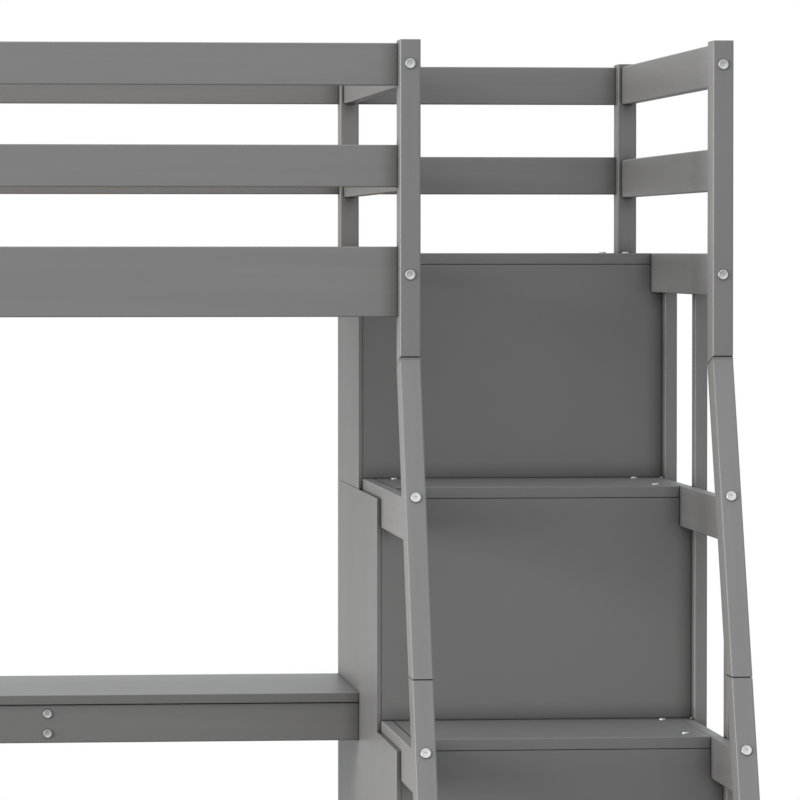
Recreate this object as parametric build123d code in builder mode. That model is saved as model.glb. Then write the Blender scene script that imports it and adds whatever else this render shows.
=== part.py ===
from build123d import *
import os
from dataclasses import dataclass
from math import atan, cos, degrees, radians, sin

# A loft bed with a desk below it and storage stairs at its right-hand end, in painted wood.
# +X runs along the bed towards the stairs, -Y is the front and Z = 0 is the floor.  The origin
# is on the floor, under the middle of the whole outline.  All sizes are in millimetres.

# --- posts, rails and boards of the frame ----------------------------------------------------
bed_length = 1930.0  # clear, between the end posts
bed_width = 1000.0  # clear, between the front and back rails
post_width = 31.0  # along X
post_depth = 55.0  # along Y
post_above_landing = 320.0
rail_thickness = 22.0
guard_height = 63.5  # height of a guard rail and of every side board
side_rail_height = 105.5
guard_above_landing = 315.5  # top edge of the top guard rail
guard_pitch = 152.5
side_board_pitch = 157.75
side_rail_above_landing = 10.5
side_board_thickness = 19.0
edge_round = 2.0
end_chamfer = 0.8
steepest_cut = 45.0  # degrees from level; a post's end is flatter than this and its sides are steeper
fit = 0.5  # gap round a board that drops in between two others

# --- slats -----------------------------------------------------------------------------------
slat_count = 12
slat_width = 65.0
slat_thickness = 12.0
slats_below_landing = 22.0  # from the landing's top down to the slats' top
ledge_thickness = 22.0
ledge_height = 30.0
beam_height = 34.0

# --- stairs ----------------------------------------------------------------------------------
step_count = 4  # the landing counts as the last step
step_rise = 366.0
step_going = 317.0
landing_depth = 395.0
stair_width = 441.5  # clear, between the stair posts
tread_thickness = 18.0
riser_thickness = 15.0
riser_gap = 0.5  # open joint between a riser and the treads above and below it
panel_gap = 0.8  # open joint between the two stair panels, and between them and the risers
tread_round = 1.2
upright_width = 20.0
upright_depth = 30.0
cleat_width = 44.0
cleat_height = 18.0
leg_run = 59.0  # depth of a sloping leg, measured level
leg_gap = 42.0  # from the lowest tread's front edge forward to the leg
bend_below_landing = 159.0  # where the leg's front face leaves the post's
joint_above_bend = 5.0
leg_joint_below_bend = 464.0
leg_joint_gap = 1.0  # open joint over each length of a leg

# --- desk ------------------------------------------------------------------------------------
desk_height = 749.5
desk_depth = 400.0
desk_thickness = 15.0
desk_overhang = 4.0
apron_thickness = 15.0
apron_height = 62.5
cross_rail_inset = 505.5  # from the desk's end to a cross rail's middle
desk_cleat_width = 22.0
desk_cleat_height = 40.0

# --- hardware --------------------------------------------------------------------------------
bolt_radius = 3.0
bolt_clearance = 0.5
head_radius = 7.6
desk_head_radius = 7.0
head_thickness = 2.0
head_sink = 0.4  # a sunk head sits this much below the face
head_round = 0.6
socket_width = 4.0
socket_depth = 1.5
nut_radius = 5.0
nut_length = 15.0
nut_clearance = 0.25
nut_slot = 1.2
nut_inset = 44.0  # from a board's end to its barrel nut
thread_past_nut = 6.0
bolt_row = 16.0  # from a rail's bottom edge up to its bolt
bolt_pair = 32.0  # between the two bolts of a deep or free-standing joint
dowel_radius = 4.0
dowel_length = 30.0
dowel_in_post = 10.0
dowel_clearance = 0.1
leg_dowel_pitch = 20.0
screw_head_radius = 5.5
screw_head_height = 2.0
screw_head_round = 1.2
screw_recess = 4.0  # length of each arm of the cross in a screw's head
screw_recess_width = 1.0
screw_recess_depth = 1.0
screw_radius = 2.0
screw_length = 28.0
screw_clearance = 0.25
screw_inset = 30.0  # from a tread's end
screw_front = 58.0  # from a tread's front edge
screw_back = 22.0  # in front of the riser above
landing_screw_front = 79.0
landing_screw_back = 37.0

# --- levels ----------------------------------------------------------------------------------
landing_top = step_count * step_rise
post_top = landing_top + post_above_landing
guard_top = landing_top + guard_above_landing
side_rail_top = landing_top + side_rail_above_landing
bend_z = landing_top - bend_below_landing
leg_joint_z = bend_z - leg_joint_below_bend
slat_top = landing_top - slats_below_landing
ledge_top = slat_top - slat_thickness
desk_rail_top = desk_height - desk_thickness
desk_rail_bottom = desk_rail_top - guard_height

# --- places along Y: 0 is the front posts' front face until shift_y moves the whole model --------
frame_depth = post_depth + bed_width + rail_thickness
landing_front = frame_depth - landing_depth


def step_front(step):
    """Front edge of a step, counted from 1 at the floor, before the shift to the row frame."""
    return landing_front - step_going * (step_count - step)


leg_slope = (leg_run + leg_gap - step_front(1)) / (bend_z - step_rise)
leg_angle = degrees(atan(leg_slope))
foot_front = -leg_slope * bend_z
shift_y = -(foot_front + frame_depth + head_thickness) / 2

front = shift_y
back = shift_y + frame_depth
front_rail = (front + post_depth - rail_thickness, front + post_depth)
back_rail = (back - rail_thickness, back)
front_post = (front, front + post_depth)
back_post = (back - post_depth, back)
desk_front = back - desk_depth
apron_front = desk_front + desk_overhang

# --- places along X --------------------------------------------------------------------------
side_inset = (post_width - side_board_thickness) / 2  # also the thickness of the stair panels
stair_pitch = stair_width + post_width
outline_left = -(bed_length + post_width + head_thickness)
outline_right = stair_pitch + side_inset + side_board_thickness + upright_width
shift_x = -(outline_left + outline_right) / 2

middle = shift_x  # left face of the posts that the bed and the stairs share
right = middle + stair_pitch  # left face of the right-hand posts
left = middle - bed_length - post_width  # left face of the left-hand posts
bed_span = (left + post_width, middle)
stair_span = (middle + post_width, right)
tread_span = (middle + side_inset + side_board_thickness + fit, right + side_inset - fit)
upright_x = (right + side_inset + side_board_thickness, outline_right + shift_x)
riser_span = (middle + side_inset + panel_gap, upright_x[1])
board_faces = {"left": left, "middle": middle, "right": right}


def leg_back(z):
    """Y of a sloping leg's back face at height z."""
    return front - leg_slope * (bend_z - z) + leg_run


def leg_front(z):
    """Y of a sloping leg's front face at height z."""
    return leg_back(z) - leg_run


def middle_of(span):
    """Middle of a (low, high) pair."""
    return (span[0] + span[1]) / 2


# The joint under each front stair post starts just above the bend on the front face, and ends
# where the back faces of the post and the leg meet.
joint_front = (front_post[0], bend_z + joint_above_bend)
joint_back = (front_post[1], bend_z - (leg_run - post_depth) / leg_slope)


def side_board_span(face_x):
    """X span of a side board, centred on the post whose left face is at face_x."""
    return (face_x + side_inset, face_x + side_inset + side_board_thickness)


# =============================================================================================
# Fasteners: where they sit, and the holes that they need
# =============================================================================================
touching = 0.01  # a hole that only comes this near to a piece doesn't cut it


@dataclass(frozen=True)
class Hole:
    """A round hole that starts at the plane's origin and runs along its normal."""

    plane: Plane
    radius: float
    depth: float

    def reaches(self, box):
        """Says whether the hole cuts into a piece with this bounding box."""
        start = self.plane.origin
        end = start + self.plane.z_dir * self.depth
        for axis in ("X", "Y", "Z"):
            a, b, run = (getattr(v, axis) for v in (start, end, self.plane.z_dir))
            side = self.radius * max(0.0, 1 - run * run) ** 0.5
            low, high = min(a, b) - side, max(a, b) + side
            inside = low < getattr(box.max, axis) - touching and high > getattr(box.min, axis) + touching
            if not inside:
                return False
        return True


@dataclass(frozen=True)
class Bolt:
    """A connector bolt seated on a face, and the barrel nut that it screws into."""

    seat: Vector
    direction: Vector
    grip: float  # from the seat to the nut
    nut_side: Vector  # the side of the board that the nut goes in from
    board: float  # thickness of that board
    head: float = head_radius
    sunk: bool = False

    def plane(self, along=0.0):
        """Plane across the bolt, at a distance along it from the seat."""
        return Plane(origin=self.seat + self.direction * along, z_dir=self.direction)

    def seat_plane(self):
        """Plane that the head's underside rests on."""
        return self.plane(head_thickness + head_sink if self.sunk else 0.0)

    def nut_plane(self):
        """Plane at the open end of the nut's hole, facing into the board."""
        mouth = self.seat + self.direction * self.grip + self.nut_side * (self.board / 2)
        return Plane(origin=mouth, x_dir=self.direction, z_dir=-self.nut_side)

    def holes(self):
        """The shank's hole, the nut's hole and, for a sunk head, its counterbore."""
        length = self.grip + thread_past_nut + bolt_clearance
        cut = [
            Hole(self.plane(), bolt_radius + bolt_clearance, length),
            Hole(self.nut_plane(), nut_radius + nut_clearance, nut_length + nut_clearance),
        ]
        if self.sunk:
            depth = head_thickness + head_sink
            cut.append(Hole(self.plane(), self.head + bolt_clearance, depth))
        return cut


east, north, up = Vector(1, 0, 0), Vector(0, 1, 0), Vector(0, 0, 1)
down_leg = Vector(0, cos(radians(leg_angle)), -sin(radians(leg_angle)))

guard_z = guard_top - guard_height / 2
landing_board_z = landing_top - guard_height / 2
post_grip = post_depth + nut_inset
rail_grip = post_width + nut_inset
desk_grip = apron_thickness + nut_inset
leg_drop = post_grip * sin(radians(leg_angle))
step_board_z = [
    step * step_rise - guard_height / 2 if step else guard_height / 2
    for step in range(step_count)
]
desk_board_z = desk_rail_top - guard_height / 2


def through_post(x, z, face_y, direction):
    """Bolt through a post's front or back face into the end of a side board."""
    seat = Vector(x + post_width / 2, face_y, z)
    return Bolt(seat, direction, post_grip, east, side_board_thickness)


def through_leg(x, z):
    """Bolt square through a sloping leg, aimed at the middle of the side board's height."""
    seat_z = z + leg_drop
    seat = Vector(x + post_width / 2, leg_front(seat_z), seat_z)
    return Bolt(seat, down_leg, post_grip, east, side_board_thickness)


def into_rail(face_x, direction, rail, z, sunk=False):
    """Bolt through a post's side face into the end of a long rail."""
    seat = Vector(face_x, middle_of(rail), z)
    return Bolt(seat, direction, rail_grip, north, rail_thickness, sunk=sunk)


post_bolts = []
for x in (middle, right):
    post_bolts += [through_post(x, z, front, north) for z in (guard_z, landing_board_z)]
    post_bolts += [through_leg(x, z) for z in step_board_z]
    back_levels = [guard_z, landing_board_z] + step_board_z
    post_bolts += [through_post(x, z, back, -north) for z in back_levels]
for z in (guard_z, landing_board_z, desk_board_z):
    post_bolts += [through_post(left, z, front, north), through_post(left, z, back, -north)]

guard_bolt_z = guard_top - guard_height + bolt_row
side_rail_z = side_rail_top - side_rail_height / 2
bed_bolt_z = [guard_bolt_z, side_rail_z - bolt_pair, side_rail_z + bolt_pair]
desk_bolt_z = desk_rail_bottom + bolt_row
stair_rail_top = landing_top - tread_thickness
stair_bolt_z = [guard_bolt_z, stair_rail_top - guard_height + bolt_row]

rail_bolts = []
for z in bed_bolt_z:
    rail_bolts.append(into_rail(left, east, front_rail, z))
    rail_bolts.append(into_rail(middle + post_width, -east, front_rail, z))
for z in bed_bolt_z + [desk_bolt_z]:
    rail_bolts.append(into_rail(left, east, back_rail, z))
    rail_bolts.append(into_rail(middle + post_width, -east, back_rail, z, sunk=True))
rail_bolts += [into_rail(right + post_width, -east, back_rail, z) for z in stair_bolt_z]

beam_y = (front_rail[1] + back_rail[0]) / 2
beam_z = landing_top - guard_height + (ledge_top - (landing_top - guard_height)) / 2
beam_grip = side_board_thickness + nut_inset
beam_bolts = [
    Bolt(Vector(side_board_span(left)[0], beam_y, beam_z), east, beam_grip, north, rail_thickness),
    Bolt(Vector(side_board_span(middle)[1], beam_y, beam_z), -east, beam_grip, north, rail_thickness),
]

cross_rail_x = [middle - cross_rail_inset, bed_span[0] + cross_rail_inset]
apron_z = desk_rail_top - apron_height / 2
desk_bolts = []
for x in cross_rail_x:
    for z in (apron_z - bolt_pair / 2, apron_z + bolt_pair / 2):
        for face_y, direction in ((apron_front, north), (back, -north)):
            grip = desk_grip + (rail_thickness - apron_thickness if direction == -north else 0)
            desk_bolts.append(
                Bolt(Vector(x, face_y, z), direction, grip, east, side_board_thickness,
                     head=desk_head_radius)
            )


@dataclass(frozen=True)
class Dowel:
    """A wooden dowel across a joint; its plane lies in the joint and faces into the board."""

    plane: Plane

    def start(self):
        """Plane at the dowel's end inside the post."""
        return self.plane.offset(-dowel_in_post)

    def holes(self):
        """One hole that runs through the joint."""
        return [Hole(self.start(), dowel_radius + dowel_clearance, dowel_length)]


dowels = []
mid_board_z = guard_top - side_board_pitch - guard_height / 2
mid_rail_z = guard_top - guard_pitch - guard_height / 2
for x in board_faces.values():
    for z in (mid_board_z - bolt_row, mid_board_z + bolt_row):
        for face_y, direction in ((front_post[1], north), (back_post[0], -north)):
            dowels.append(Dowel(Plane(origin=(x + post_width / 2, face_y, z), z_dir=direction)))
for span, rails in ((bed_span, (front_rail, back_rail)), (stair_span, (back_rail,))):
    for rail in rails:
        for z in (mid_rail_z - bolt_row, mid_rail_z + bolt_row):
            dowels.append(Dowel(Plane(origin=(span[0], middle_of(rail), z), z_dir=east)))
            dowels.append(Dowel(Plane(origin=(span[1], middle_of(rail), z), z_dir=-east)))
for z in (stair_bolt_z[0] + bolt_row, stair_bolt_z[0] + 2 * bolt_row,
          stair_bolt_z[1] + bolt_row, stair_bolt_z[1] + 2 * bolt_row):
    dowels.append(Dowel(Plane(origin=(stair_span[0], middle_of(back_rail), z), z_dir=east)))
along_leg = Vector(0, -sin(radians(leg_angle)), -cos(radians(leg_angle)))
for x in (middle, right):
    for across in (-leg_dowel_pitch / 2, leg_dowel_pitch / 2):
        y = middle_of(front_post) + across
        z = joint_front[1] + (joint_back[1] - joint_front[1]) * (y - front_post[0]) / post_depth
        dowels.append(Dowel(Plane(origin=(x + post_width / 2, y, z), z_dir=-up)))
        y = leg_back(leg_joint_z) - leg_run / 2 + across
        dowels.append(Dowel(Plane(origin=(x + post_width / 2, y, leg_joint_z), z_dir=along_leg)))


@dataclass(frozen=True)
class Screw:
    """A pan-head wood screw, driven down through a tread into the cleat below it."""

    seat: Vector

    def plane(self):
        """Plane at the tread's top face, facing down along the screw."""
        return Plane(origin=self.seat, z_dir=-up)

    def holes(self):
        """One hole through the tread and into its cleat."""
        return [Hole(self.plane(), screw_radius + screw_clearance, screw_length + screw_clearance)]


screws = []
screw_x = (tread_span[0] + screw_inset, tread_span[1] - screw_inset)
for step in range(1, step_count + 1):
    edge = shift_y + step_front(step)
    if step < step_count:
        rows = (edge + screw_front, edge + step_going - screw_back, back_post[0] - screw_back)
    else:
        rows = (edge + landing_screw_front, back - landing_screw_back)
    screws += [Screw(Vector(x, y, step * step_rise)) for x in screw_x for y in rows]

bolts = post_bolts + rail_bolts + beam_bolts + desk_bolts
holes = [hole for item in bolts + dowels + screws for hole in item.holes()]


# =============================================================================================
# Helpers
# =============================================================================================
def save(piece, label):
    """Labels a finished piece and writes it as parts/<label>.step."""
    piece.part.label = label
    export_step(piece.part, f"parts/{label}.step")


def drill(piece):
    """Cuts every fastener hole that reaches into the piece that is being built."""
    box = piece.part.bounding_box()
    cuts = {}
    for hole in holes:
        if hole.reaches(box):
            cuts.setdefault((hole.radius, hole.depth), []).append(hole.plane)
    for (radius, depth), planes in cuts.items():
        with BuildSketch(*planes) as mouths:
            Circle(radius)
        extrude(mouths.sketch, amount=depth, mode=Mode.SUBTRACT)


def board(label, x, y, z, grain, radius=edge_round):
    """A straight board that fills the spans x, y and z, its edges along the grain rounded."""
    with BuildPart() as piece:
        with BuildSketch(Plane.XY.offset(z[0])):
            with Locations((middle_of(x), middle_of(y))):
                Rectangle(x[1] - x[0], y[1] - y[0])
        extrude(amount=z[1] - z[0])
        fillet(piece.edges().filter_by(grain), radius)
        drill(piece)
    save(piece, label)


def profile_board(label, x, outline, grain=None):
    """A board cut to a side outline of (y, z) points and as thick as the span x."""
    with BuildPart() as piece:
        with BuildSketch(Plane.YZ.offset(x[0])):
            with BuildLine():
                Polyline(*outline, close=True)
            make_face()
        extrude(amount=x[1] - x[0])
        if grain:
            fillet(piece.edges().filter_by(grain), edge_round)
        drill(piece)
    save(piece, label)


def is_end(face):
    """Says whether a face of a post or leg is its top or bottom, square or cut at a slant."""
    return abs(face.normal_at().Z) > cos(radians(steepest_cut))


def post(label, face_x, outline):
    """A post or leg with a side outline: long edges rounded, ends chamfered."""
    with BuildPart() as piece:
        with BuildSketch(Plane.YZ.offset(face_x)):
            with BuildLine():
                Polyline(*outline, close=True)
            make_face()
        extrude(amount=post_width)
        chamfer(piece.faces().filter_by(is_end).edges(), end_chamfer)
        fillet(piece.edges().filter_by(lambda edge: edge.length > 2 * post_depth), edge_round)
        drill(piece)
    save(piece, label)


def straight_outline(y):
    """Side outline of a post that stands on the floor."""
    return [(y[0], 0), (y[1], 0), (y[1], post_top), (y[0], post_top)]


os.makedirs("parts", exist_ok=True)

# =============================================================================================
# Posts and legs
# =============================================================================================
post("front_post_left", left, straight_outline(front_post))
post("back_post_left", left, straight_outline(back_post))
post("back_post_middle", middle, straight_outline(back_post))
post("back_post_right", right, straight_outline(back_post))

upper_outline = [joint_front, joint_back, (front_post[1], post_top), (front_post[0], post_top)]
leg_tops = [joint_front[1] - leg_joint_gap, joint_back[1] - leg_joint_gap]
leg_upper_outline = [
    (leg_front(leg_joint_z), leg_joint_z),
    (leg_back(leg_joint_z), leg_joint_z),
    (leg_back(leg_tops[1]), leg_tops[1]),
    (front_post[0], leg_tops[0]),
    (front_post[0], bend_z),
]
lower_top = leg_joint_z - leg_joint_gap
leg_lower_outline = [
    (leg_front(0), 0),
    (leg_back(0), 0),
    (leg_back(lower_top), lower_top),
    (leg_front(lower_top), lower_top),
]
for side, x in (("middle", middle), ("right", right)):
    post(f"front_post_{side}", x, upper_outline)
    post(f"leg_upper_{side}", x, leg_upper_outline)
    post(f"leg_lower_{side}", x, leg_lower_outline)

# =============================================================================================
# Long rails, end boards and the boards beside the stairs
# =============================================================================================
guard_span = (guard_top - guard_height, guard_top)
mid_guard_span = (guard_span[0] - guard_pitch, guard_span[1] - guard_pitch)
side_rail_span = (side_rail_top - side_rail_height, side_rail_top)
for place, y in (("front", front_rail), ("back", back_rail)):
    board(f"{place}_guard_rail_top", bed_span, y, guard_span, Axis.X)
    board(f"{place}_guard_rail_middle", bed_span, y, mid_guard_span, Axis.X)
    board(f"{place}_side_rail", bed_span, y, side_rail_span, Axis.X)

stair_rail_span = (stair_rail_top - guard_height, stair_rail_top)
board("stair_back_rail_top", stair_span, back_rail, guard_span, Axis.X)
board("stair_back_rail_middle", stair_span, back_rail, mid_guard_span, Axis.X)
board("stair_back_rail_landing", stair_span, back_rail, stair_rail_span, Axis.X)

between_posts = (front_post[1], back_post[0])
mid_board_span = (mid_board_z - guard_height / 2, mid_board_z + guard_height / 2)
landing_board_span = (landing_top - guard_height, landing_top)
for side, x in board_faces.items():
    span = side_board_span(x)
    board(f"{side}_guard_board_top", span, between_posts, guard_span, Axis.Y)
    board(f"{side}_guard_board_middle", span, between_posts, mid_board_span, Axis.Y)
    board(f"{side}_landing_board", span, between_posts, landing_board_span, Axis.Y)
desk_board_span = (desk_rail_bottom, desk_rail_top)
board("left_desk_board", side_board_span(left), between_posts, desk_board_span, Axis.Y)

for step in range(1, step_count):
    z = (step * step_rise - guard_height, step * step_rise)
    outline = [(leg_back(z[0]), z[0]), (back_post[0], z[0]), (back_post[0], z[1]), (leg_back(z[1]), z[1])]
    for side, x in (("left", middle), ("right", right)):
        profile_board(f"step_{step}_board_{side}", side_board_span(x), outline, Axis.Y)

with BuildPart() as bottom_boards:
    with BuildSketch(*(Plane.YZ.offset(side_board_span(x)[0]) for x in (middle, right))):
        with BuildLine():
            Polyline((leg_back(0), 0), (back_post[0], 0), (back_post[0], guard_height),
                     (leg_back(guard_height), guard_height), close=True)
        make_face()
    extrude(amount=side_board_thickness)
    fillet(bottom_boards.edges().filter_by(Axis.Y), edge_round)
    drill(bottom_boards)
save(bottom_boards, "bottom_boards")

# =============================================================================================
# Treads, landing, risers, panels and uprights of the stairs
# =============================================================================================
for step in range(1, step_count):
    edge = shift_y + step_front(step)
    z = (step * step_rise - tread_thickness, step * step_rise)
    board(f"tread_{step}", tread_span, (edge, back_post[0] - fit), z, Axis.X, tread_round)

landing_y = (shift_y + landing_front, back)
with BuildPart() as landing:
    with BuildSketch(Plane.XY.offset(landing_top - tread_thickness)):
        with Locations((middle_of(tread_span), middle_of(landing_y))):
            Rectangle(tread_span[1] - tread_span[0], landing_y[1] - landing_y[0])
        for x in (middle, right):
            with Locations((x + post_width / 2, middle_of(back_post))):
                Rectangle(post_width + 2 * fit, post_depth + 2 * fit, mode=Mode.SUBTRACT)
    extrude(amount=tread_thickness)
    fillet(landing.edges().filter_by(Axis.X).group_by(Axis.Y)[0], tread_round)
    drill(landing)
save(landing, "landing")

for step in range(1, step_count + 1):
    face = shift_y + step_front(step)
    floor_z = (step - 1) * step_rise
    board_z = step * step_rise - guard_height
    top_z = step * step_rise - tread_thickness - riser_gap
    bottom_z = floor_z + riser_gap if step > 1 else floor_z
    notch_z = guard_height if step == 1 else bottom_z
    with BuildPart() as riser:
        with BuildSketch(Plane.XZ.offset(-(face + riser_thickness))):
            with Locations((middle_of(riser_span), (notch_z + board_z) / 2)):
                Rectangle(riser_span[1] - riser_span[0], board_z - notch_z)
            with Locations((middle_of(tread_span), (bottom_z + top_z) / 2)):
                Rectangle(tread_span[1] - tread_span[0], top_z - bottom_z)
        extrude(amount=riser_thickness)
    save(riser, f"riser_{step}")

panel_span = (middle, middle + side_inset)
panel_joint_z = (step_count - 1) * step_rise - tread_thickness
panel_back = back_post[0]
profile_board("stair_panel_upper", panel_span, [
    (landing_y[0], panel_joint_z + panel_gap), (panel_back, panel_joint_z + panel_gap),
    (panel_back, landing_top), (landing_y[0], landing_top),
])
stepped = [(panel_back, 0), (panel_back, panel_joint_z)]
for step in range(step_count - 1, 0, -1):
    edge = shift_y + step_front(step)
    below = (step - 1) * step_rise - tread_thickness if step > 1 else 0
    stepped += [(edge, step * step_rise - tread_thickness), (edge, below)]
profile_board("stair_panel_lower", panel_span, stepped)

with BuildPart() as uprights:
    for step in range(1, step_count + 1):
        back_y = shift_y + step_front(step)
        board_step = min(step if step == 1 else step + 1, step_count)
        with BuildSketch(Plane.XY):
            with Locations((middle_of(upright_x), back_y - upright_depth / 2)):
                Rectangle(upright_width, upright_depth)
        extrude(amount=board_step * step_rise)
    long_edges = [solid.edges().filter_by(Axis.Z) for solid in uprights.solids()]
    fillet([edge for edges in long_edges for edge in edges.group_by(Axis.Y)[0]], edge_round)
    # Where the going is long, the sloping leg crosses an upright, which is notched round it.
    with BuildSketch(Plane.YZ.offset(right)):
        with BuildLine():
            Polyline((leg_front(0) - fit, 0), (leg_back(0) + fit, 0), (joint_back[0] + fit, joint_back[1]),
                     (front_post[1] + fit, post_top), (front_post[0] - fit, post_top),
                     (front_post[0] - fit, bend_z), close=True)
        make_face()
    extrude(amount=post_width + fit, mode=Mode.SUBTRACT)
save(uprights, "stair_uprights")

with BuildPart() as step_cleats:
    for step in range(1, step_count + 1):
        start = shift_y + step_front(step) + riser_thickness + fit
        cleat_y = (start, back_post[0] - fit)
        with BuildSketch(Plane.XY.offset(step * step_rise - tread_thickness - cleat_height)):
            for x in (tread_span[0] + cleat_width / 2, tread_span[1] - cleat_width / 2):
                with Locations((x, middle_of(cleat_y))):
                    Rectangle(cleat_width, cleat_y[1] - cleat_y[0])
        extrude(amount=cleat_height)
    drill(step_cleats)
save(step_cleats, "step_cleats")

# =============================================================================================
# Slats and what carries them
# =============================================================================================
ledges = (
    (front_rail[1], front_rail[1] + ledge_thickness),
    (back_rail[0] - ledge_thickness, back_rail[0]),
)
with BuildPart() as slat_ledges:
    with BuildSketch(Plane.YZ.offset(bed_span[0])):
        for y in ledges:
            with Locations((middle_of(y), ledge_top - ledge_height / 2)):
                Rectangle(ledge_thickness, ledge_height)
    extrude(amount=bed_length)
save(slat_ledges, "slat_ledges")

beam_span = (side_board_span(left)[1], side_board_span(middle)[0])
beam_y_span = (beam_y - rail_thickness / 2, beam_y + rail_thickness / 2)
board("centre_beam", beam_span, beam_y_span, (ledge_top - beam_height, ledge_top), Axis.X)

slat_gap = (bed_length - slat_count * slat_width) / slat_count
with BuildPart() as slats:
    with BuildSketch(Plane.XY.offset(ledge_top)):
        with Locations((middle_of(bed_span), beam_y)):
            with GridLocations(slat_width + slat_gap, 1, slat_count, 1):
                Rectangle(slat_width, bed_width - 2 * fit)
    extrude(amount=slat_thickness)
    fillet(slats.edges().filter_by(Axis.Y).group_by(Axis.Z)[-1], edge_round)
save(slats, "bed_slats")

# =============================================================================================
# Desk
# =============================================================================================
desk_top_z = (desk_rail_top, desk_height)
apron_y = (apron_front, apron_front + apron_thickness)
apron_x = (side_board_span(left)[1], middle)
board("desk_top", bed_span, (desk_front, back), desk_top_z, Axis.X, tread_round)
board("desk_apron", apron_x, apron_y, (desk_rail_top - apron_height, desk_rail_top), Axis.X)
board("desk_back_rail", bed_span, back_rail, desk_board_span, Axis.X)

with BuildPart() as cross_rails:
    with BuildSketch(Plane.XZ.offset(-back_rail[0])):
        for x in cross_rail_x:
            with Locations((x, apron_z)):
                Rectangle(side_board_thickness, apron_height)
    extrude(amount=back_rail[0] - apron_y[1])
    fillet(cross_rails.edges().filter_by(Axis.Y), edge_round)
    drill(cross_rails)
save(cross_rails, "desk_cross_rails")

with BuildPart() as desk_cleats:
    with BuildSketch(Plane.XZ.offset(-back_post[0])):
        for x in (apron_x[0] + desk_cleat_width / 2, apron_x[1] - desk_cleat_width / 2):
            with Locations((x, desk_rail_top - desk_cleat_height / 2)):
                Rectangle(desk_cleat_width, desk_cleat_height)
    extrude(amount=back_post[0] - apron_y[1])
save(desk_cleats, "desk_end_cleats")

# =============================================================================================
# Hardware
# =============================================================================================
with BuildPart() as connector_bolts:
    by_size = {}
    for bolt in bolts:
        by_size.setdefault((bolt.head, bolt.grip), []).append(bolt.seat_plane())
    for (head, grip), seats in by_size.items():
        with BuildSketch(*seats):
            Circle(head)
        extrude(amount=-head_thickness)
    rims = connector_bolts.edges().filter_by(GeomType.CIRCLE)
    crowns = [seat.offset(-head_thickness) for seats in by_size.values() for seat in seats]
    fillet([rims.sort_by_distance(crown.origin)[0] for crown in crowns], head_round)
    for (head, grip), seats in by_size.items():
        sunk = head_thickness + head_sink
        with BuildSketch(*seats):
            Circle(bolt_radius)
        extrude(amount=grip + thread_past_nut - sunk)
        with BuildSketch(*(seat.offset(-head_thickness) for seat in seats)):
            RegularPolygon(socket_width / 2, 6, major_radius=False)
        extrude(amount=socket_depth, mode=Mode.SUBTRACT)
save(connector_bolts, "connector_bolts")

with BuildPart() as barrel_nuts:
    mouths = [bolt.nut_plane() for bolt in bolts]
    with BuildSketch(*mouths):
        Circle(nut_radius)
    extrude(amount=nut_length)
    with BuildSketch(*mouths):
        Rectangle(2 * nut_radius, nut_slot)
    extrude(amount=nut_slot, mode=Mode.SUBTRACT)
    threads = {}
    for bolt in bolts:
        threads.setdefault(bolt.grip, []).append(bolt.plane(bolt.grip - nut_radius))
    for planes in threads.values():
        with BuildSketch(*planes):
            Circle(bolt_radius + dowel_clearance)
        extrude(amount=2 * nut_radius, mode=Mode.SUBTRACT)
save(barrel_nuts, "barrel_nuts")

with BuildPart() as joint_dowels:
    with BuildSketch(*(dowel.start() for dowel in dowels)):
        Circle(dowel_radius)
    extrude(amount=dowel_length - dowel_clearance)
    chamfer(joint_dowels.edges().filter_by(GeomType.CIRCLE), end_chamfer)
save(joint_dowels, "joint_dowels")

with BuildPart() as tread_screws:
    tops = [screw.plane() for screw in screws]
    with BuildSketch(*tops):
        Circle(screw_head_radius)
    extrude(amount=-screw_head_height)
    crowns = [face for face in tread_screws.faces().filter_by(Axis.Z) if face.normal_at().Z > 0]
    fillet([face.edges()[0] for face in crowns], screw_head_round)
    with BuildSketch(*tops):
        Circle(screw_radius)
    extrude(amount=screw_length)
    with BuildSketch(*(top.offset(-screw_head_height) for top in tops)):
        Rectangle(screw_recess, screw_recess_width)
        Rectangle(screw_recess_width, screw_recess)
    extrude(amount=screw_recess_depth, mode=Mode.SUBTRACT)
save(tread_screws, "tread_screws")
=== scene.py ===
"""Looks of a grey loft bed with a desk below it and storage stairs at its end.

The frame gives every board, post and fastener its shape and place.  This file gives them their
finishes, models the fasteners' heads in full, and sets up the studio round them.
"""

import logging
import math
from collections.abc import Callable
from dataclasses import dataclass
from enum import Enum

import bpy
import numpy as np
from mathutils import Matrix, Vector


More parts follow.
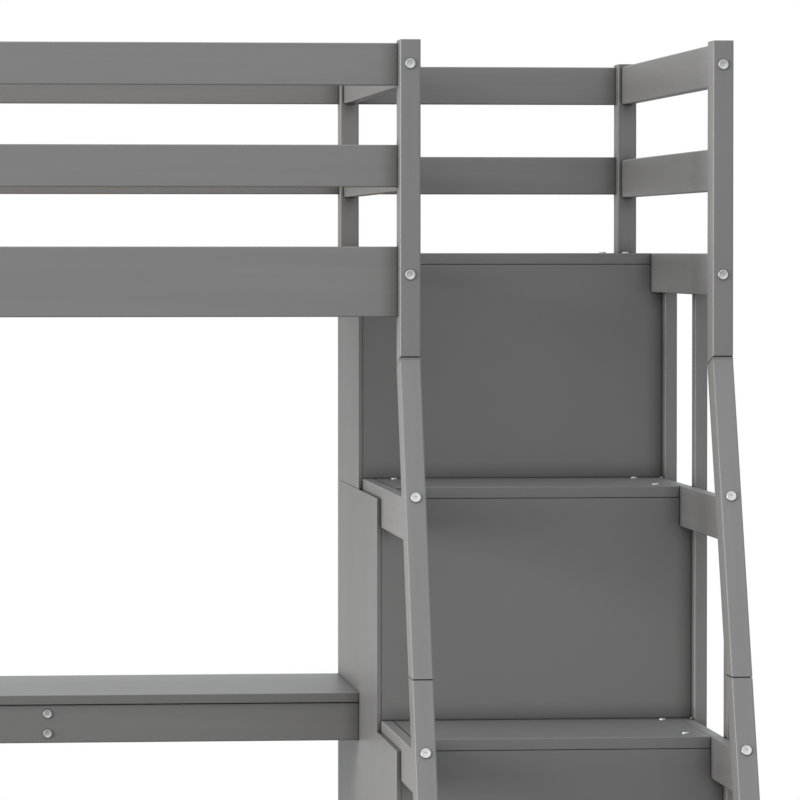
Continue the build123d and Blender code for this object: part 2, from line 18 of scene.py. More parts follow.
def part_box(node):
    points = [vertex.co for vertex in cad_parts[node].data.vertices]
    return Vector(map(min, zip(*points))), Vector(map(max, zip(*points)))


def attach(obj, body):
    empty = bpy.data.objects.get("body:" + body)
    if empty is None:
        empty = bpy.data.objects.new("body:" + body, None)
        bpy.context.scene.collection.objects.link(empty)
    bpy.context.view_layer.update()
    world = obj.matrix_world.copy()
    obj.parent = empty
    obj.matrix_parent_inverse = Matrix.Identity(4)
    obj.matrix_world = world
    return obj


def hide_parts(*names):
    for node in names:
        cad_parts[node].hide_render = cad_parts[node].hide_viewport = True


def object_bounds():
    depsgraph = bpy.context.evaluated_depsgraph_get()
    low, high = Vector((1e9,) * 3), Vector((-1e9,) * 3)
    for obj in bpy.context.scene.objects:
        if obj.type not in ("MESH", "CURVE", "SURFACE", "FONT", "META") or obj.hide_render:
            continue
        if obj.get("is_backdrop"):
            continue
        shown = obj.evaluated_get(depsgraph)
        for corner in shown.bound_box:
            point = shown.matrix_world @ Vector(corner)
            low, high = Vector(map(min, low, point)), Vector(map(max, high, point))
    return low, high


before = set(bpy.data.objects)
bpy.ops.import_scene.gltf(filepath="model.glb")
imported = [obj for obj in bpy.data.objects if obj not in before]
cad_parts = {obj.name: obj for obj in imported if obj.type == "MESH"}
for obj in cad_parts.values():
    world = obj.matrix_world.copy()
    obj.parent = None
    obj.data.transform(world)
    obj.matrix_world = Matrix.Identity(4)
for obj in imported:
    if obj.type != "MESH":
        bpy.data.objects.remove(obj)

MM = 0.001
QUARTER_TURN = math.pi / 2
BODY = "root"
# samples and limits of the ambient-occlusion lookups that paint shade into corners and along joints
CORNER_SHADE_SAMPLES = 6
SEAM_SHADE_SAMPLES = 8
SEAM_SHADE_FULL = 0.5  # share of the sky that a square corner leaves open, where a seam is darkest
SEAM_SHADE_NONE = 0.85  # share from which a surface counts as clear of a seam
SOLID_GRID = 0.01 * MM  # corners of a solid that lie this near each other are one corner
END_REACH = 0.5 * MM  # how far from a fastener's end its rim is looked for
AXIS_PASSES = 3
FACES_UP = 0.9  # least upward share of a normal on a cylinder's end face
FACES_UP_ONLY = 0.99  # and on the flat inside a bevel, where the bevel's own faces lean
SMOOTH_ANGLE = math.radians(32)
log = logging.getLogger("loft_bed")


# =============================================================================================
# Small helpers
# =============================================================================================
def linear(hex_colour: str) -> tuple[float, float, float, float]:
    """Turns an sRGB colour into the linear one that a shader takes.

    Args:
        hex_colour: the colour as "#rrggbb".

    Returns:
        Red, green and blue from 0 to 1, and an alpha of 1.
    """
    shares = [int(hex_colour[i:i + 2], 16) / 255 for i in (1, 3, 5)]
    r, g, b = (c / 12.92 if c <= 0.04045 else ((c + 0.055) / 1.055) ** 2.4 for c in shares)
    return r, g, b, 1.0


def per_metre(size_mm: float) -> float:
    """Texture scale that gives a pattern features of about this size."""
    return 1 / (size_mm * MM)


def add_node(tree: bpy.types.NodeTree, kind: str, values: dict | None = None,
             links: dict | None = None, **settings: object) -> bpy.types.ShaderNode:
    """Adds one node with its settings and links.

    Args:
        tree: the material's or world's node tree.
        kind: the node's type name.
        values: what each unlinked input is set to, by the input's name or number.
        links: the output socket that feeds each linked input, by the input's name or number.
        **settings: attributes of the node itself.

    Returns:
        The new node.
    """
    node = tree.nodes.new(kind)
    for name, value in settings.items():
        setattr(node, name, value)
    for name, value in (values or {}).items():
        node.inputs[name].default_value = value
    for name, socket in (links or {}).items():
        tree.links.new(socket, node.inputs[name])
    return node


def new_material(name: str) -> tuple[bpy.types.Material, bpy.types.NodeTree]:
    """Makes an empty node material.

    Args:
        name: the material's name.

    Returns:
        The material and its node tree.
    """
    material = bpy.data.materials.new(name)
    material.use_nodes = True
    material.node_tree.nodes.clear()
    return material, material.node_tree


def paint_corner_shade(tree: bpy.types.NodeTree, colour: bpy.types.NodeSocket, corner_shade_colour: str,
                  shade_reach_mm: float, seam_shade_mm: float) -> bpy.types.NodeSocket:
    """Paints shade into a paint's inside corners and joints, darkening it where little light comes
    in.

    Args:
        tree: the material's node tree.
        colour: the paint's colour on open surfaces.
        corner_shade_colour: the painted shade's colour right in a corner.
        shade_reach_mm: how far from a corner the painted shade reaches before the paint is back to
            its open colour.
        seam_shade_mm: how far the painted dark line of shade spreads from a joint between two
            pieces.

    Returns:
        The colour to give the shader.
    """
    corner = add_node(tree, "ShaderNodeAmbientOcclusion", {"Distance": shade_reach_mm * MM},
                      samples=CORNER_SHADE_SAMPLES)
    seam = add_node(tree, "ShaderNodeAmbientOcclusion", {"Distance": seam_shade_mm * MM},
                    samples=SEAM_SHADE_SAMPLES)
    clear = add_node(tree, "ShaderNodeMapRange", {"From Min": SEAM_SHADE_FULL, "From Max": SEAM_SHADE_NONE},
                     {"Value": seam.outputs["AO"]})
    share = add_node(tree, "ShaderNodeMath",
                     links={0: corner.outputs["AO"], 1: clear.outputs["Result"]},
                     operation="MULTIPLY")
    # painted shade: the colour blends towards the dark corner colour where the occlusion lookups
    # find nearby surfaces
    mixed = add_node(tree, "ShaderNodeMix", {"A": linear(corner_shade_colour)},
                     {"Factor": share.outputs["Value"], "B": colour}, data_type="RGBA")
    return mixed.outputs["Result"]


def vary_sheen(tree: bpy.types.NodeTree, pattern: bpy.types.ShaderNode, roughness: float,
               spread: float) -> bpy.types.NodeSocket:
    """Lets a surface's roughness follow a pattern.

    Args:
        tree: the material's node tree.
        pattern: the noise that it follows.
        roughness: its middle value.
        spread: how far it goes to either side.

    Returns:
        The roughness to give the shader.
    """
    sheen = add_node(tree, "ShaderNodeMapRange",
                     {"To Min": roughness - spread, "To Max": roughness + spread},
                     {"Value": pattern.outputs["Fac"]})
    return sheen.outputs["Result"]


def raise_relief(tree: bpy.types.NodeTree,
                 layers: list[tuple[bpy.types.ShaderNode, float]]) -> bpy.types.NodeSocket:
    """Stacks patterns that stand proud of a surface.

    Args:
        tree: the material's node tree.
        layers: each pattern, with its height in millimetres.

    Returns:
        The normal to give the shader.
    """
    links = {}
    for pattern, height_mm in layers:
        links["Height"] = pattern.outputs["Fac"]
        bump = add_node(tree, "ShaderNodeBump",
                        {"Strength": 1.0, "Distance": height_mm * MM}, links)
        links["Normal"] = bump.outputs["Normal"]
    return links["Normal"]


def give_surface(tree: bpy.types.NodeTree, values: dict, links: dict) -> None:
    """Ends a material with its shader and output.

    Args:
        tree: the material's node tree.
        values: what the shader's unlinked inputs are set to.
        links: the sockets that feed its linked inputs.
    """
    shader = add_node(tree, "ShaderNodeBsdfPrincipled", values, links)
    add_node(tree, "ShaderNodeOutputMaterial", links={"Surface": shader.outputs["BSDF"]})


def dress(nodes: list[str], material: bpy.types.Material) -> None:
    """Puts a material on CAD nodes.

    Args:
        nodes: the nodes' names.
        material: what they are finished in.
    """
    for name in nodes:
        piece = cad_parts[name]
        piece.data.materials.clear()
        piece.data.materials.append(material)
        log.info("%s: %s", name, material.name)


# =============================================================================================
# Finishes
# =============================================================================================
class Grain(Enum):
    """The way a board's grain runs."""

    ALONG_BED = "along_bed"
    ACROSS_BED = "across_bed"
    UPRIGHT = "upright"
    SLOPING = "sloping"


@dataclass(frozen=True)
class SatinPaintedPine:
    """Grey satin paint, sprayed over sanded pine.

    The paint hides the colour of the wood.  What is left to see is a soft sheen, a fine spray
    texture, and the harder winter grain standing a few hundredths of a millimetre proud.
    """

    colour: str = "#6f6f6f"
    light_streak: str = "#717171"
    dark_streak: str = "#6d6d6d"
    # painted shade: the colour in inside corners and along joints, and how far it spreads
    corner: str = "#161616"
    corner_shade_mm: float = 30.0
    seam_shade_mm: float = 4.0
    roughness: float = 0.42
    roughness_spread: float = 0.06
    ior: float = 1.5
    band_mm: float = 22.0  # between broad bands of growth rings
    fibre_mm: float = 2.4  # between fine fibres, drawn coarser than life so that they show
    stretch: float = 28.0  # how much longer than wide a streak of grain is
    band_height_mm: float = 0.10
    fibre_height_mm: float = 0.035
    spray_mm: float = 3.2  # orange peel of the spray, twice as coarse as life so that it shows
    spray_height_mm: float = 0.07
    dark_end: float = 0.30  # where on the band noise the dark and the light streaks are reached
    light_end: float = 0.70

    def turn(self, grain: Grain, slope: float) -> tuple[float, float, float]:
        """Rotation that lays a pattern's long way, its X, along the grain.

        Args:
            grain: the way that the grain runs.
            slope: a sloping leg's angle from upright, in radians.

        Returns:
            The Mapping node's rotation.
        """
        turns = {
            Grain.ALONG_BED: (0.0, 0.0, 0.0),
            Grain.ACROSS_BED: (0.0, 0.0, -QUARTER_TURN),
            Grain.UPRIGHT: (0.0, QUARTER_TURN, 0.0),
            Grain.SLOPING: (slope, QUARTER_TURN, 0.0),
        }
        return turns[grain]

    def make(self, grain: Grain, slope: float = 0.0) -> bpy.types.Material:
        """Builds the material for one direction of grain.

        Args:
            grain: the way that the grain runs.
            slope: a sloping leg's angle from upright, in radians.

        Returns:
            The material.
        """
        material, tree = new_material(f"satin_painted_pine_{grain.value}")
        place = add_node(tree, "ShaderNodeTexCoord").outputs["Object"]
        turned = add_node(tree, "ShaderNodeMapping", {"Rotation": self.turn(grain, slope)},
                          {"Vector": place})
        drawn = add_node(tree, "ShaderNodeMapping", {"Scale": (1 / self.stretch, 1.0, 1.0)},
                         {"Vector": turned.outputs["Vector"]})
        along = drawn.outputs["Vector"]
        band = add_node(tree, "ShaderNodeTexNoise",
                        {"Scale": per_metre(self.band_mm), "Detail": 3.0, "Distortion": 0.6},
                        {"Vector": along})
        fibre = add_node(tree, "ShaderNodeTexNoise",
                         {"Scale": per_metre(self.fibre_mm), "Detail": 2.0}, {"Vector": along})
        spray = add_node(tree, "ShaderNodeTexNoise",
                         {"Scale": per_metre(self.spray_mm), "Detail": 1.0}, {"Vector": place})
        tint = add_node(tree, "ShaderNodeValToRGB", links={"Fac": band.outputs["Fac"]})
        dark, light = tint.color_ramp.elements
        dark.position, dark.color = self.dark_end, linear(self.dark_streak)
        light.position, light.color = self.light_end, linear(self.light_streak)
        middle = (self.dark_end + self.light_end) / 2
        tint.color_ramp.elements.new(middle).color = linear(self.colour)
        sheen = vary_sheen(tree, fibre, self.roughness, self.roughness_spread)
        # the tinted paint with shade painted into its corners and along its joints
        paint = paint_corner_shade(tree, tint.outputs["Color"], self.corner, self.corner_shade_mm,
                              self.seam_shade_mm)
        relief = raise_relief(tree, [(band, self.band_height_mm), (fibre, self.fibre_height_mm),
                                     (spray, self.spray_height_mm)])
        give_surface(tree, {"IOR": self.ior},
                     {"Base Color": paint, "Roughness": sheen, "Normal": relief})
        return material


@dataclass(frozen=True)
class SatinPaintedFibreboard:
    """The same grey paint over fibreboard, for panels, risers, treads and the desk top.

    Fibreboard has no grain, so it takes a smoother, evener coat: only the spray's orange peel and
    a very slow change of tone are left.
    """

    colour: str = "#6b6b6b"
    cloud: str = "#696969"
    # painted shade: the colour in inside corners and along joints, and how far it spreads
    corner: str = "#161616"
    corner_shade_mm: float = 30.0
    seam_shade_mm: float = 4.0
    roughness: float = 0.38
    roughness_spread: float = 0.04
    ior: float = 1.5
    cloud_mm: float = 240.0
    spray_mm: float = 3.4
    spray_height_mm: float = 0.06

    def make(self) -> bpy.types.Material:
        """Builds the material.

        Returns:
            The material.
        """
        material, tree = new_material("satin_painted_fibreboard")
        place = add_node(tree, "ShaderNodeTexCoord").outputs["Object"]
        cloud = add_node(tree, "ShaderNodeTexNoise",
                         {"Scale": per_metre(self.cloud_mm), "Detail": 4.0}, {"Vector": place})
        spray = add_node(tree, "ShaderNodeTexNoise",
                         {"Scale": per_metre(self.spray_mm), "Detail": 1.0}, {"Vector": place})
        tint = add_node(tree, "ShaderNodeMix",
                        {"A": linear(self.colour), "B": linear(self.cloud)},
                        {"Factor": cloud.outputs["Fac"]}, data_type="RGBA")
        sheen = vary_sheen(tree, cloud, self.roughness, self.roughness_spread)
        # the tinted paint with shade painted into its corners and along its joints
        paint = paint_corner_shade(tree, tint.outputs["Result"], self.corner, self.corner_shade_mm,
                              self.seam_shade_mm)
        peel = raise_relief(tree, [(spray, self.spray_height_mm)])
        give_surface(tree, {"IOR": self.ior},
                     {"Base Color": paint, "Roughness": sheen, "Normal": peel})
        return material


@dataclass(frozen=True)
class BareWood:
    """Planed or turned wood with no paint on it: pale, with darker bands of late growth."""

    name: str
    early: str
    late: str
    ring_mm: float
    stretch: float
    roughness: float = 0.6
    ior: float = 1.5
    pore_mm: float = 0.9
    pore_height_mm: float = 0.05
    early_end: float = 0.42  # where on the ring noise early wood ends and late wood is full
    late_end: float = 0.66

    def make(self, along: tuple[float, float, float]) -> bpy.types.Material:
        """Builds the material.

        Args:
            along: 1 for the axis that the grain runs along, and 0 for the others.

        Returns:
            The material.
        """
        material, tree = new_material(self.name)
        place = add_node(tree, "ShaderNodeTexCoord").outputs["Object"]
        scale = tuple(1 / self.stretch if a else 1.0 for a in along)
        drawn = add_node(tree, "ShaderNodeMapping", {"Scale": scale}, {"Vector": place})
        rings = add_node(tree, "ShaderNodeTexNoise",
                         {"Scale": per_metre(self.ring_mm), "Detail": 5.0, "Distortion": 1.2},
                         {"Vector": drawn.outputs["Vector"]})
        pores = add_node(tree, "ShaderNodeTexNoise",
                         {"Scale": per_metre(self.pore_mm), "Detail": 1.0},
                         {"Vector": drawn.outputs["Vector"]})
        tint = add_node(tree, "ShaderNodeValToRGB", links={"Fac": rings.outputs["Fac"]})
        pale, dark = tint.color_ramp.elements
        pale.position, pale.color = self.early_end, linear(self.early)
        dark.position, dark.color = self.late_end, linear(self.late)
        relief = raise_relief(tree, [(pores, self.pore_height_mm)])
        give_surface(tree, {"IOR": self.ior, "Roughness": self.roughness},
                     {"Base Color": tint.outputs["Color"], "Normal": relief})
        return material


@dataclass(frozen=True)
class BrightZincSteel:
    """Steel with bright zinc plate, as on furniture bolts: pale, neutral in tone, dulled a little.

    The plate follows the drawn wire and the stamped head, so its gloss is broken up by a fine
    unevenness, which shows mostly as a change in the sharpness of reflections.
    """

    colour: str = "#bfc1c0"
    roughness: float = 0.5
    roughness_spread: float = 0.08
    uneven_mm: float = 0.8
    uneven_height_mm: float = 0.01

    def make(self) -> bpy.types.Material:
        """Builds the material.

        Returns:
            The material.
        """
        material, tree = new_material("bright_zinc_steel")
        place = add_node(tree, "ShaderNodeTexCoord").outputs["Object"]
        uneven = add_node(tree, "ShaderNodeTexNoise",
                          {"Scale": per_metre(self.uneven_mm), "Detail": 2.0}, {"Vector": place})
        sheen = vary_sheen(tree, uneven, self.roughness, self.roughness_spread)
        relief = raise_relief(tree, [(uneven, self.uneven_height_mm)])
        give_surface(tree, {"Base Color": linear(self.colour), "Metallic": 1.0},
                     {"Roughness": sheen, "Normal": relief})
        return material


# =============================================================================================
# Sub-assemblies made of boards
# =============================================================================================
@dataclass
class PaintSet:
    """The painted materials, one for each way that the grain runs."""

    pine: dict[Grain, bpy.types.Material]
    board: bpy.types.Material

    @classmethod
    def mix(cls, slope: float) -> "PaintSet":
        """Makes every painted material.

        Args:
            slope: a sloping leg's angle from upright, in radians.

        Returns:
            The set.
        """
        pine = SatinPaintedPine()
        return cls({grain: pine.make(grain, slope) for grain in Grain},
                   SatinPaintedFibreboard().make())


@dataclass
class BedFrame:
    """Posts, sloping legs, side rails and guard rails round the bed."""

    ends: tuple[str, ...] = ("left", "middle", "right")
    leg_sides: tuple[str, ...] = ("middle", "right")

    def leg_slope(self) -> float:
        """Angle of the sloping legs from upright, in radians."""
        lower_low, lower_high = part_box("leg_lower_middle")
        upper_low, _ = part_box("leg_upper_middle")
        return math.atan2(upper_low.y - lower_low.y, lower_high.z - lower_low.z)

    def dress(self, paint: PaintSet) -> None:
        """Paints the posts, legs, rails and end boards."""
        posts = [f"{row}_post_{end}" for row in ("front", "back") for end in self.ends]
        legs = [f"leg_{part}_{side}" for part in ("upper", "lower") for side in self.leg_sides]
        rails = [f"{row}_{rail}" for row in ("front", "back")
                 for rail in ("side_rail", "guard_rail_top", "guard_rail_middle")]
        ends = [f"{end}_{board}" for end in self.ends
                for board in ("guard_board_top", "guard_board_middle", "landing_board")]
        dress(posts, paint.pine[Grain.UPRIGHT])
        dress(legs, paint.pine[Grain.SLOPING])
        dress(rails, paint.pine[Grain.ALONG_BED])
        dress(ends, paint.pine[Grain.ACROSS_BED])


@dataclass
class SlatBase:
    """The slats that carry the mattress, and what they lie on."""

    def dress(self, paint: PaintSet) -> None:
        """Paints the ledges and the beam, and leaves the slats plain."""
        dress(["slat_ledges", "centre_beam"], paint.pine[Grain.ALONG_BED])
        pine = BareWood("planed_pine", "#d9b98c", "#c39a66", ring_mm=9.0, stretch=24.0)
        dress(["bed_slats"], pine.make((0, 1, 0)))


@dataclass
class Stairs:
    """Treads, landing, risers, panels, boards and uprights of the storage stairs."""

    steps: int = 4

    def dress(self, paint: PaintSet) -> None:
        """Paints every board of the stairs."""
        treads = [f"tread_{step}" for step in range(1, self.steps)] + ["landing"]
        risers = [f"riser_{step}" for step in range(1, self.steps + 1)]
        panels = ["stair_panel_lower", "stair_panel_upper"]
        boards = [f"step_{step}_board_{side}" for step in range(1, self.steps)
                  for side in ("left", "right")]
        rails = [f"stair_back_rail_{place}" for place in ("top", "middle", "landing")]
        dress(treads + risers + panels, paint.board)
        dress(boards + ["bottom_boards", "step_cleats"], paint.pine[Grain.ACROSS_BED])
        dress(rails, paint.pine[Grain.ALONG_BED])
        dress(["stair_uprights"], paint.pine[Grain.UPRIGHT])


@dataclass
class Desk:
    """The long desk below the bed and the rails that carry it."""

    def dress(self, paint: PaintSet) -> None:
        """Paints the top and its rails."""
        dress(["desk_top"], paint.board)
        dress(["desk_apron", "desk_back_rail"], paint.pine[Grain.ALONG_BED])
        dress(["desk_cross_rails", "desk_end_cleats", "left_desk_board"],
              paint.pine[Grain.ACROSS_BED])


# =============================================================================================
# Fasteners
# =============================================================================================
@dataclass(frozen=True)
class Stem:
    """Where one long fastener lies, read from its solid in the frame."""

    crown: Vector  # middle of the head's outer face
    inward: Vector  # from the head along the shank
    length: float
    head_radius: float

    def placement(self) -> Matrix:
        """Matrix that carries a fastener modelled head up at the origin to its place."""
        turn = self.inward.to_track_quat("-Z", "Y").to_matrix().to_4x4()
        return Matrix.Translation(self.crown) @ turn


def solids_of(node: str) -> list[np.ndarray]:
    """Splits a CAD node's mesh into its separate solids.

    Args:
        node: the node's name.

    Returns:
        One array of vertex positions for each solid.
    """
    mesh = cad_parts[node].data
    corners: dict[tuple[int, ...], int] = {}
    merged = [corners.setdefault(tuple(round(c / SOLID_GRID) for c in v.co), len(corners))
              for v in mesh.vertices]
    points = np.zeros((len(corners), 3))
    for vertex, i in zip(mesh.vertices, merged):
        points[i] = vertex.co
    owner = list(range(len(points)))

    def find(i: int) -> int:
        """The corner that stands for corner i's solid."""
        while owner[i] != i:
            owner[i] = owner[owner[i]]
            i = owner[i]
        return i

    for edge in mesh.edges:
        a, b = (find(merged[i]) for i in edge.vertices)
        owner[a] = b
    groups: dict[int, list[int]] = {}
    for i in range(len(points)):
        groups.setdefault(find(i), []).append(i)
    return [points[members] for members in groups.values()]


def stems_of(node: str) -> list[Stem]:
    """Finds the axis, head and length of every long fastener in a CAD node.

    Args:
        node: the node's name.

    Returns:
        The fasteners, in a fixed order.
    """
    stems = []
    for points in solids_of(node):
        axis = np.linalg.svd(points - points.mean(0), full_matrices=False)[2][0]
        # The rims of the two ends settle the axis better than the cloud of corners does.
        for _ in range(AXIS_PASSES):
            along = points @ axis
            low, high = (points[abs(along - end) < END_REACH] for end in (along.min(), along.max()))
            axis = high.mean(0) - low.mean(0)
            axis /= np.linalg.norm(axis)
        along = points @ axis
        spread = [np.linalg.norm(end - end.mean(0), axis=1).max() for end in (low, high)]
        if spread[1] > spread[0]:
            axis, along, low = -axis, -along, high
        core = low.mean(0) + axis * (along.min() - low.mean(0) @ axis)
        off = (points - core) - np.outer((points - core) @ axis, axis)
        radius = float(np.linalg.norm(off, axis=1).max())
        stems.append(Stem(Vector(core), Vector(axis), float(np.ptp(along)), radius))
    return sorted(stems, key=lambda s: tuple(round(c, 4) for c in s.crown))


def deselect_all() -> None:
    """Clears the selection, because an operator acts on all that is selected."""
    for piece in bpy.context.selected_objects:
        piece.select_set(False)


def cylinder(radius: float, top: float, depth: float, sides: int) -> bpy.types.Object:
    """Adds an upright cylinder on the Z axis, its place in its mesh.

    Args:
        radius: its radius.
        top: height of its top face.
        depth: its length.
        sides: how many flat sides stand for the round.

    Returns:
        The cylinder, the only thing selected.
    """
    deselect_all()
    bpy.ops.mesh.primitive_cylinder_add(vertices=sides, radius=radius, depth=depth,
                                        location=(0, 0, top - depth / 2))
    bpy.ops.object.transform_apply(location=True, rotation=False, scale=False)
    return bpy.context.object


def select_only(piece: bpy.types.Object, test: Callable[[Vector, Vector], bool]) -> None:
    """Goes into edit mode with just the faces that pass a test selected.

    Args:
        piece: the object to edit.
        test: takes a face's centre and normal.
    """
    if piece.mode != "OBJECT":
        bpy.ops.object.mode_set(mode="OBJECT")
    for group in (piece.data.vertices, piece.data.edges, piece.data.polygons):
        group.foreach_set("select", [False] * len(group))
    for face in piece.data.polygons:
        face.select = test(face.center, face.normal)
    bpy.ops.object.mode_set(mode="EDIT")
    bpy.ops.mesh.select_mode(type="FACE")


def cut_away(piece: bpy.types.Object, cutter: bpy.types.Object) -> None:
    """Cuts one solid out of another and deletes the cutter.

    Args:
        piece: what is cut.
        cutter: the shape that is taken away.
    """
    deselect_all()
    piece.select_set(True)
    bpy.context.view_layer.objects.active = piece
    modifier = piece.modifiers.new("cut", "BOOLEAN")
    modifier.operation, modifier.solver, modifier.object = "DIFFERENCE", "EXACT", cutter
    bpy.ops.object.modifier_apply(modifier=modifier.name)
    bpy.data.objects.remove(cutter)


def join(parts: list[bpy.types.Object], name: str) -> bpy.types.Object:
    """Joins several objects into the first.

    Args:
        parts: the objects.
        name: what the joined piece is called.

    Returns:
        The joined piece.
    """
    deselect_all()
    for part in parts:
        part.select_set(True)
    bpy.context.view_layer.objects.active = parts[0]
    bpy.ops.object.join()
    parts[0].name = parts[0].data.name = name
    return parts[0]


def copy_to(model: bpy.types.Object, places: list[Matrix]) -> list[bpy.types.Object]:
    """Copies a model to each place, each copy with its own mesh, and deletes the model.

    Args:
        model: the object to copy.
        places: a matrix for each copy.

    Returns:
        The copies.
    """
    copies = []
    for place in places:
        copied = model.copy()
        copied.data = model.data.copy()
        copied.data.transform(place)
        bpy.context.scene.collection.objects.link(copied)
        copies.append(copied)
    bpy.data.objects.remove(model)
    return copies


def finish_piece(piece: bpy.types.Object, material: bpy.types.Material,
                 node: str) -> None:
    """Smooths, dresses and fixes a modelled piece that stands for a CAD node.

    Args:
        piece: the piece, in place.
        material: its finish.
        node: the CAD node that it replaces.
    """
    deselect_all()
    piece.select_set(True)
    bpy.context.view_layer.objects.active = piece
    bpy.ops.object.shade_smooth_by_angle(angle=SMOOTH_ANGLE)
    piece.data.materials.clear()
    piece.data.materials.append(material)
    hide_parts(node)
    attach(piece, BODY)
    log.info("%s: %d faces, %s", piece.name, len(piece.data.polygons), material.name)


@dataclass
class ConnectorBolts:
    """Furniture connector bolts: a wide head with a rolled rim, a dish and a hexagon socket."""

    head_thickness: float = 2.0 * MM
    rim_round: float = 0.7 * MM
    dish_share: float = 0.70  # the dish's radius, as a share of the head's
    dish_depth: float = 0.22 * MM
    socket_corner: float = 2.31 * MM  # from the middle to a corner
    socket_depth: float = 1.5 * MM
    shank_radius: float = 3.0 * MM
    rim_steps: int = 4
    head_sides: int = 40
    shank_sides: int = 14

    def model(self, head_radius: float, length: float) -> bpy.types.Object:
        """Models one bolt, its head up and the middle of the head's top at the origin.

        Args:
            head_radius: the head's radius.
            length: the bolt's whole length.

        Returns:
            The bolt.
        """
        head = cylinder(head_radius, 0.0, self.head_thickness, self.head_sides)
        select_only(head, lambda centre, normal: normal.z > FACES_UP)
        bpy.ops.mesh.bevel(offset=self.rim_round, segments=self.rim_steps, affect="EDGES")
        flat = head_radius - self.rim_round
        dish = head_radius * self.dish_share
        select_only(head, lambda centre, normal: normal.z > FACES_UP_ONLY)
        bpy.ops.mesh.inset(thickness=flat - dish)
        bpy.ops.mesh.inset(thickness=2 * self.dish_depth, depth=-self.dish_depth)
        bpy.ops.object.mode_set(mode="OBJECT")
        socket = cylinder(self.socket_corner, self.socket_depth, 2 * self.socket_depth, 6)
        cut_away(head, socket)
        shank = cylinder(self.shank_radius, -self.head_thickness, length - self.head_thickness,
                         self.shank_sides)
        return join([head, shank], "connector_bolt")

    def build(self, material: bpy.types.Material) -> None:
        """Models every bolt in its place.

        Args:
            material: the bolts' finish.
        """
        kinds: dict[tuple[float, float], list[Matrix]] = {}
        for stem in stems_of("connector_bolts"):
            kind = (round(stem.head_radius, 4), round(stem.length, 4))
            kinds.setdefault(kind, []).append(stem.placement())
        bolts = []
        for (head_radius, length), places in kinds.items():
            bolts += copy_to(self.model(head_radius, length), places)
            log.info("%d bolts, head %.1f mm, length %.1f mm", len(places),
                     2 * head_radius / MM, length / MM)
        finish_piece(join(bolts, "fine_connector_bolts"), material, "connector_bolts")


@dataclass
class TreadScrews:
    """Pan-head wood screws with a cross recess, one row across each tread."""

    head_radius: float = 5.5 * MM
    head_height: float = 2.0 * MM
    head_round: float = 1.3 * MM
    recess_reach: float = 2.3 * MM  # from the middle to an arm's end
    recess_width: float = 1.0 * MM
    recess_depth: float = 1.2 * MM
    shank_radius: float = 2.0 * MM
    point_length: float = 5.0 * MM
    point_share: float = 0.1  # the point's width, as a share of the shank's
    round_steps: int = 6
    head_sides: int = 36
    shank_sides: int = 12

    def model(self, length: float) -> bpy.types.Object:
        """Models one screw, the middle of its head's top at the origin.

        Args:
            length: the screw's whole length.

        Returns:
            The screw.
        """
        head = cylinder(self.head_radius, 0.0, self.head_height, self.head_sides)
        select_only(head, lambda centre, normal: normal.z > FACES_UP)
        bpy.ops.mesh.bevel(offset=self.head_round, segments=self.round_steps, affect="EDGES")
        bpy.ops.object.mode_set(mode="OBJECT")
        for turn in (0.0, QUARTER_TURN):
            deselect_all()
            bpy.ops.mesh.primitive_cube_add(size=1.0)
            arm = bpy.context.object
            arm.data.transform(Matrix.Rotation(turn, 4, "Z") @ Matrix.Diagonal(
                (2 * self.recess_reach, self.recess_width, 2 * self.recess_depth, 1.0)))
            cut_away(head, arm)
        shank = cylinder(self.shank_radius, -self.head_height, length - self.head_height,
                         self.shank_sides)
        select_only(shank, lambda centre, normal: normal.z < -FACES_UP)
        bpy.ops.transform.translate(value=(0, 0, self.point_length))
        bpy.ops.mesh.extrude_region_move(
            TRANSFORM_OT_translate={"value": (0, 0, -self.point_length)})
        bpy.ops.transform.resize(value=(self.point_share, self.point_share, 1.0))
        bpy.ops.object.mode_set(mode="OBJECT")
        return join([head, shank], "tread_screw")

    def build(self, material: bpy.types.Material) -> None:
        """Models every screw in its place.

        Args:
            material: the screws' finish.
        """
        places, length = [], 0.0
        for points in solids_of("tread_screws"):
            low, high = Vector(points.min(0)), Vector(points.max(0))
            length = high.z - low.z
            middle = (low + high) / 2
            places.append(Matrix.Translation((middle.x, middle.y, high.z)))
        screws = copy_to(self.model(length), places)
        log.info("%d tread screws, length %.1f mm", len(screws), length / MM)
        finish_piece(join(screws, "fine_tread_screws"), material, "tread_screws")


@dataclass
class HiddenHardware:
    """Barrel nuts in the boards and dowels in the joints."""

    def dress(self, steel: bpy.types.Material) -> None:
        """Finishes the nuts in zinc plate and the dowels in bare beech."""
        dress(["barrel_nuts"], steel)
        beech = BareWood("turned_beech", "#cfa878", "#b98d5c", ring_mm=3.0, stretch=10.0)
        dress(["joint_dowels"], beech.make((1, 0, 0)))


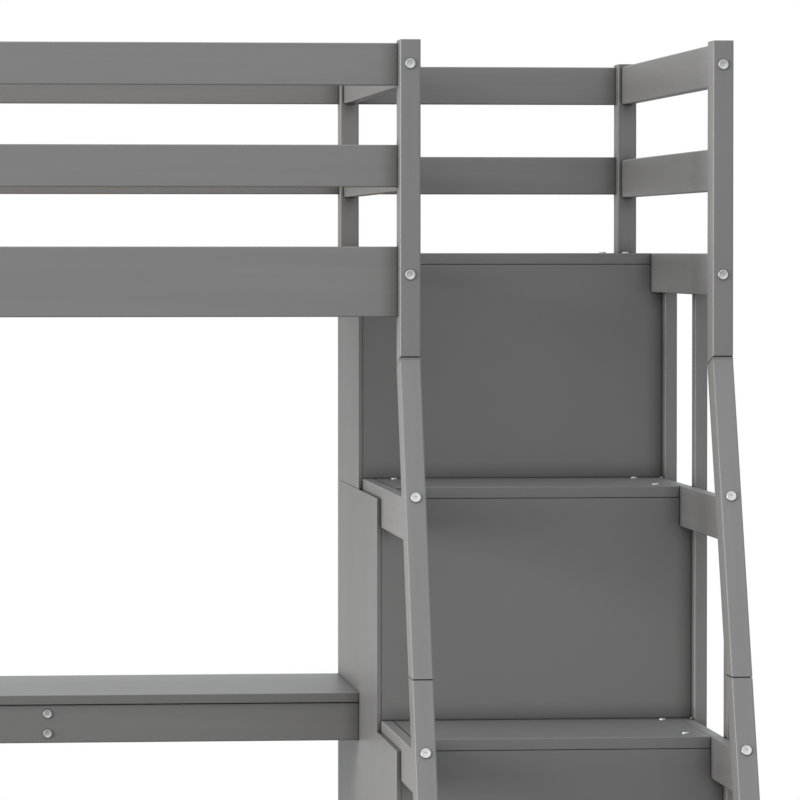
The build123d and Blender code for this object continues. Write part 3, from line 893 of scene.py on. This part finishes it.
# =============================================================================================
# Studio
# =============================================================================================
@dataclass
class Studio:
    """A pale floor, soft light from all round with more of it from the left, and the camera."""

    floor_size: float = 9.0
    floor_colour: str = "#dcdcda"  # as the eye sees it
    floor_return: str = "#7a7a79"  # for the light it throws back, held down to deepen undersides
    floor_roughness: float = 0.9
    backdrop: float = 1.0  # strength of what shows behind the object
    backdrop_colour: str = "#ffffff"
    sky_colour: str = "#fcfdff"
    horizon: float = 0.61  # light from the side, and what is added to it overhead
    overhead: float = 0.92
    side_power: float = 1900.0
    side_colour: tuple[float, float, float] = (1.0, 0.975, 0.925)
    side_size: float = 5.2
    side_place: tuple[float, float, float] = (-11.0, -3.0, 2.6)
    front_power: float = 45.0
    front_colour: tuple[float, float, float] = (0.985, 0.99, 1.0)
    front_size: float = 4.0
    front_place: tuple[float, float, float] = (0.6, -6.0, 3.6)
    eye: tuple[float, float, float] = (-0.05015, -8.1124, 1.4701)
    right_slope: float = 0.09869  # the view's middle, per metre ahead
    down_slope: float = 0.02873
    lens: float = 236.9
    sensor: float = 36.0

    def light(self, name: str, place: tuple[float, float, float], aim: Vector, size: float,
              power: float, colour: tuple[float, float, float]) -> None:
        """Adds a square soft light.

        Args:
            name: the light's name.
            place: where it hangs.
            aim: the point that it faces.
            size: its side.
            power: its power in watts.
            colour: its colour.
        """
        data = bpy.data.lights.new(name, "AREA")
        data.shape, data.size, data.energy, data.color = "SQUARE", size, power, colour
        lamp = bpy.data.objects.new(name, data)
        lamp.location = place
        lamp.rotation_euler = (aim - Vector(place)).to_track_quat("-Z", "Y").to_euler()
        bpy.context.scene.collection.objects.link(lamp)

    def show(self, tree: bpy.types.NodeTree, seen: bpy.types.NodeSocket,
             given: bpy.types.NodeSocket, output: str) -> None:
        """Gives a surface one shader for what is seen of it and another for the light it sends on.

        Args:
            tree: the material's or world's node tree.
            seen: the shader that shows.
            given: the shader that lights the object.
            output: the type name of the output node.
        """
        direct = add_node(tree, "ShaderNodeLightPath").outputs["Is Camera Ray"]
        both = add_node(tree, "ShaderNodeMixShader", links={0: direct, 1: given, 2: seen})
        add_node(tree, output, links={"Surface": both.outputs["Shader"]})

    def build(self) -> None:
        """Makes the floor, the lights, the sky and the camera."""
        low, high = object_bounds()
        middle = (low + high) / 2
        deselect_all()
        bpy.ops.mesh.primitive_plane_add(size=self.floor_size)
        floor = bpy.context.object
        floor.name = "floor"
        material, tree = new_material("studio_floor")
        looks, returns = (
            add_node(tree, "ShaderNodeBsdfPrincipled",
                     {"Base Color": linear(tone), "Roughness": self.floor_roughness})
            for tone in (self.floor_colour, self.floor_return))
        self.show(tree, looks.outputs["BSDF"], returns.outputs["BSDF"], "ShaderNodeOutputMaterial")
        floor.data.materials.append(material)
        floor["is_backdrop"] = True

        world = bpy.data.worlds.new("studio")
        bpy.context.scene.world = world
        world.use_nodes = True
        tree = world.node_tree
        tree.nodes.clear()
        direction = add_node(tree, "ShaderNodeTexCoord").outputs["Generated"]
        height = add_node(tree, "ShaderNodeSeparateXYZ", links={"Vector": direction}).outputs["Z"]
        strength = add_node(tree, "ShaderNodeMapRange",
                            {"To Min": self.horizon, "To Max": self.horizon + self.overhead},
                            {"Value": height}).outputs["Result"]
        dome = add_node(tree, "ShaderNodeBackground", {"Color": linear(self.sky_colour)},
                        {"Strength": strength})
        paper = add_node(tree, "ShaderNodeBackground",
                         {"Color": linear(self.backdrop_colour), "Strength": self.backdrop})
        self.show(tree, paper.outputs["Background"], dome.outputs["Background"],
                  "ShaderNodeOutputWorld")
        self.light("side_light", self.side_place, middle, self.side_size, self.side_power,
                   self.side_colour)
        self.light("front_light", self.front_place, middle, self.front_size, self.front_power,
                   self.front_colour)

        lens = bpy.data.cameras.new("camera")
        lens.lens, lens.sensor_width = self.lens, self.sensor
        camera = bpy.data.objects.new("camera", lens)
        camera.location = self.eye
        ahead = Vector((self.right_slope, 1.0, -self.down_slope))
        camera.rotation_euler = ahead.to_track_quat("-Z", "Y").to_euler()
        bpy.context.scene.collection.objects.link(camera)
        bpy.context.scene.camera = camera
        bpy.context.scene.view_settings.view_transform = "Standard"


def main() -> None:
    """Dresses the frame, models the fasteners and sets up the studio."""
    logging.basicConfig(level=logging.INFO, format="%(message)s")
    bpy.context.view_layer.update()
    bed = BedFrame()
    paint = PaintSet.mix(bed.leg_slope())
    for part in (bed, SlatBase(), Stairs(), Desk()):
        part.dress(paint)
    steel = BrightZincSteel().make()
    HiddenHardware().dress(steel)
    ConnectorBolts().build(steel)
    TreadScrews().build(steel)
    Studio().build()


if __name__ == "__main__":
    main()
